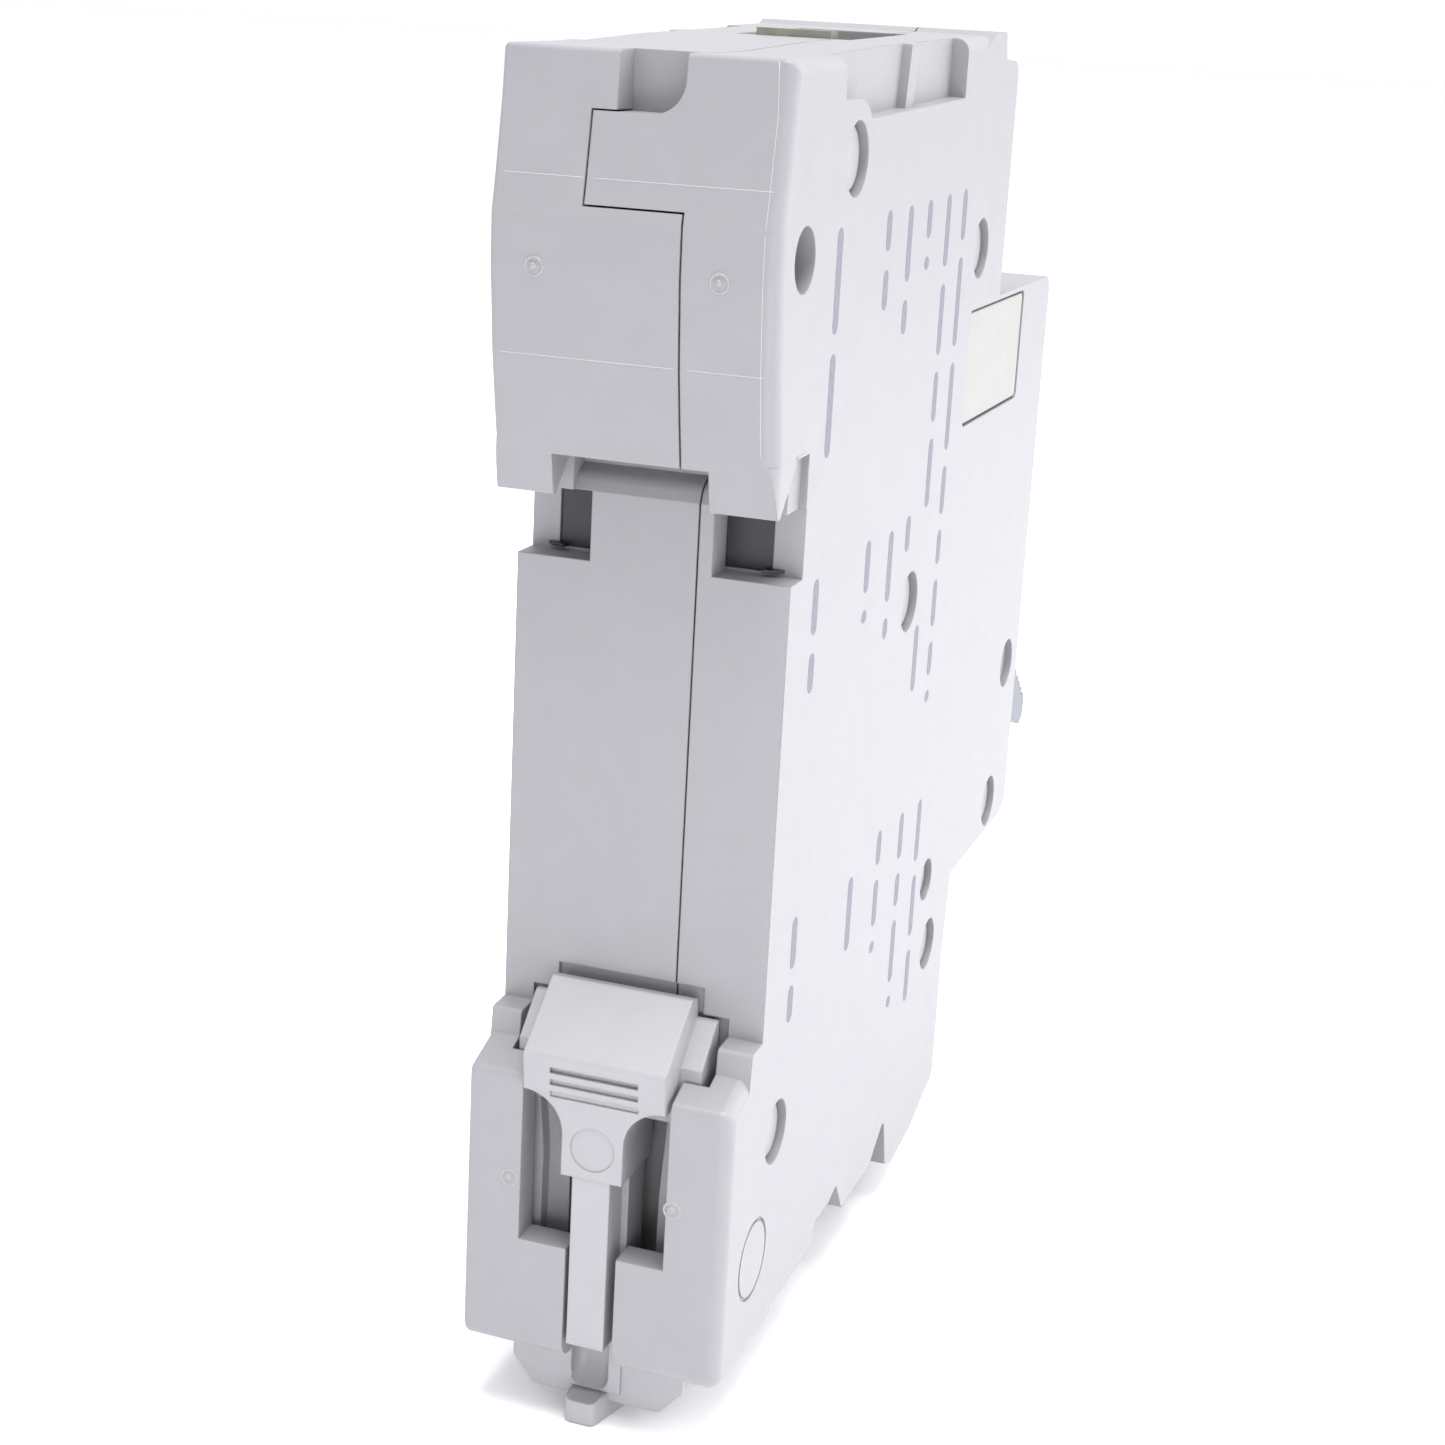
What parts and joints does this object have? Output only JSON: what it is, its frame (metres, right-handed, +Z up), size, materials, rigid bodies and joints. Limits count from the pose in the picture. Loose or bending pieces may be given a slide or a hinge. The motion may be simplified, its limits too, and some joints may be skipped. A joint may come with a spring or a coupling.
{
  "type": "miniature circuit breaker",
  "caption": "Narrow grey moulded DIN-rail circuit breaker with front toggle, clamp terminals top and bottom, rail hooks and a sliding plastic rail clip at the back.",
  "frame": {"origin": "on the rail seat at the back of the casing, half way across the width, at the height of the rail centre line", "axes": "+Z up towards the upper terminal, +Y towards the rail and the wall, +X across the width, to the left of a viewer at the back"},
  "size_m": [0.018, 0.0838, 0.0902],
  "materials": {
    "casing": "fine satin moulding",
    "dowel": "satin",
    "window": "clear",
    "clip": "satin",
    "toggle": "semi-gloss",
    "pin_steel": "drawn",
    "spring": "drawn spring wire",
    "carrier": "fibre-filled",
    "copper": "bare copper",
    "silver": "silver alloy",
    "zinc_steel": "zinc plated",
    "bobbin": "satin",
    "copper_wire": "enamelled copper",
    "bimetal": "rolled",
    "brass_screw": "machined",
    "flag": "satin",
    "fibre": "vulcanised fibre",
    "zinc_screw": "yellow-passivated zinc",
    "cage": "olive-passivated zinc"
  },
  "bodies": {
    "casing": {"case_main": "casing", "case_cover": "casing", "case_dowels": "dowel", "indicator_window": "window", "chamber_liner": "carrier", "toggle_pin": "pin_steel", "toggle_spring": "spring", "carrier_pin": "pin_steel", "contact_spring": "spring", "fixed_contact_bar": "copper", "fixed_contact_tip": "silver", "coil_yoke": "zinc_steel", "coil_bobbin": "bobbin", "coil_winding": "copper_wire", "fixed_core": "zinc_steel", "plunger_spring": "spring", "bimetal_strip": "bimetal", "bimetal_support": "zinc_steel", "calibration_screw": "brass_screw", "flexible_braid": "copper_wire", "trip_pin": "pin_steel", "trip_spring": "spring", "flag_pin": "pin_steel", "arc_plates": "zinc_steel", "arc_chute_holder": "fibre", "arc_runner": "zinc_steel", "upper_terminal_plate": "copper", "lower_terminal_plate": "copper"},
    "toggle_body": {"toggle": "toggle"},
    "link_body": {"link_wire": "pin_steel"},
    "carrier_body": {"contact_carrier": "carrier"},
    "arm_body": {"contact_arm": "copper", "moving_contact_tip": "silver"},
    "flag_body": {"indicator_flag": "flag"},
    "trip_body": {"trip_lever": "carrier"},
    "plunger_body": {"plunger": "zinc_steel"},
    "upper_screw_body": {"upper_terminal_screw": "zinc_screw"},
    "upper_cage_body": {"upper_terminal_cage": "cage"},
    "lower_screw_body": {"lower_terminal_screw": "zinc_screw"},
    "lower_cage_body": {"lower_terminal_cage": "cage"},
    "clip_body": {"din_clip": "clip"}
  },
  "joints": [
    {"name": "toggle_hinge", "type": "hinge", "parent": "casing", "child": "toggle_body", "pos_m": [0, -0.0641, -0.0098], "axis": [-1, 0, 0], "range_deg": [0, 70]},
    {"name": "link_hinge", "type": "hinge", "parent": "toggle_body", "child": "link_body", "pos_m": [0, -0.06126, -0.0067], "axis": [1, 0, 0], "range_deg": [0, 89]},
    {"name": "carrier_hinge", "type": "hinge", "parent": "casing", "child": "carrier_body", "pos_m": [0, -0.0445, -0.007], "axis": [1, 0, 0], "range_deg": [0, 13.7]},
    {"name": "contact_arm_hinge", "type": "hinge", "parent": "casing", "child": "arm_body", "pos_m": [0, -0.0445, -0.007], "axis": [1, 0, 0], "range_deg": [0, 11.6]},
    {"name": "flag_hinge", "type": "hinge", "parent": "casing", "child": "flag_body", "pos_m": [0, -0.0595, 0.007], "axis": [1, 0, 0], "range_deg": [0, 42.1]},
    {"name": "trip_lever_hinge", "type": "hinge", "parent": "casing", "child": "trip_body", "pos_m": [0, -0.0505, 0.006], "axis": [1, 0, 0], "range_deg": [0, 8], "stiffness_Nm_per_rad": 0.006, "springref_deg": -2.86},
    {"name": "plunger_slide", "type": "slide", "parent": "casing", "child": "plunger_body", "axis": [0, -1, 0], "range_m": [0, 0.003], "stiffness_N_per_m": 60, "springref_m": -0.0005},
    {"name": "upper_screw_turn", "type": "hinge", "parent": "casing", "child": "upper_screw_body", "pos_m": [0, -0.0445, 0.0337], "axis": [0, 1, 0], "range_deg": [0, 2026]},
    {"name": "upper_cage_slide", "type": "slide", "parent": "casing", "child": "upper_cage_body", "axis": [0, -1, 0], "range_m": [0, 0.0045]},
    {"name": "lower_screw_turn", "type": "hinge", "parent": "casing", "child": "lower_screw_body", "pos_m": [0, -0.0445, -0.0345], "axis": [0, 1, 0], "range_deg": [0, 2026]},
    {"name": "lower_cage_slide", "type": "slide", "parent": "casing", "child": "lower_cage_body", "axis": [0, -1, 0], "range_m": [0, 0.0045]},
    {"name": "din_clip_slide", "type": "slide", "parent": "casing", "child": "clip_body", "axis": [0, 0, -1], "range_m": [0, 0.0045]}
  ],
  "couplings": [
    {"joint": "link_hinge", "follows": "toggle_hinge", "ratio": 1.2689},
    {"joint": "carrier_hinge", "follows": "toggle_hinge", "ratio": 0.19429},
    {"joint": "contact_arm_hinge", "follows": "toggle_hinge", "ratio": 0.16429},
    {"joint": "flag_hinge", "follows": "toggle_hinge", "ratio": 0.6},
    {"joint": "upper_screw_turn", "follows": "upper_cage_slide", "rad_per_m": 7854},
    {"joint": "lower_screw_turn", "follows": "lower_cage_slide", "rad_per_m": 7854}
  ]
}
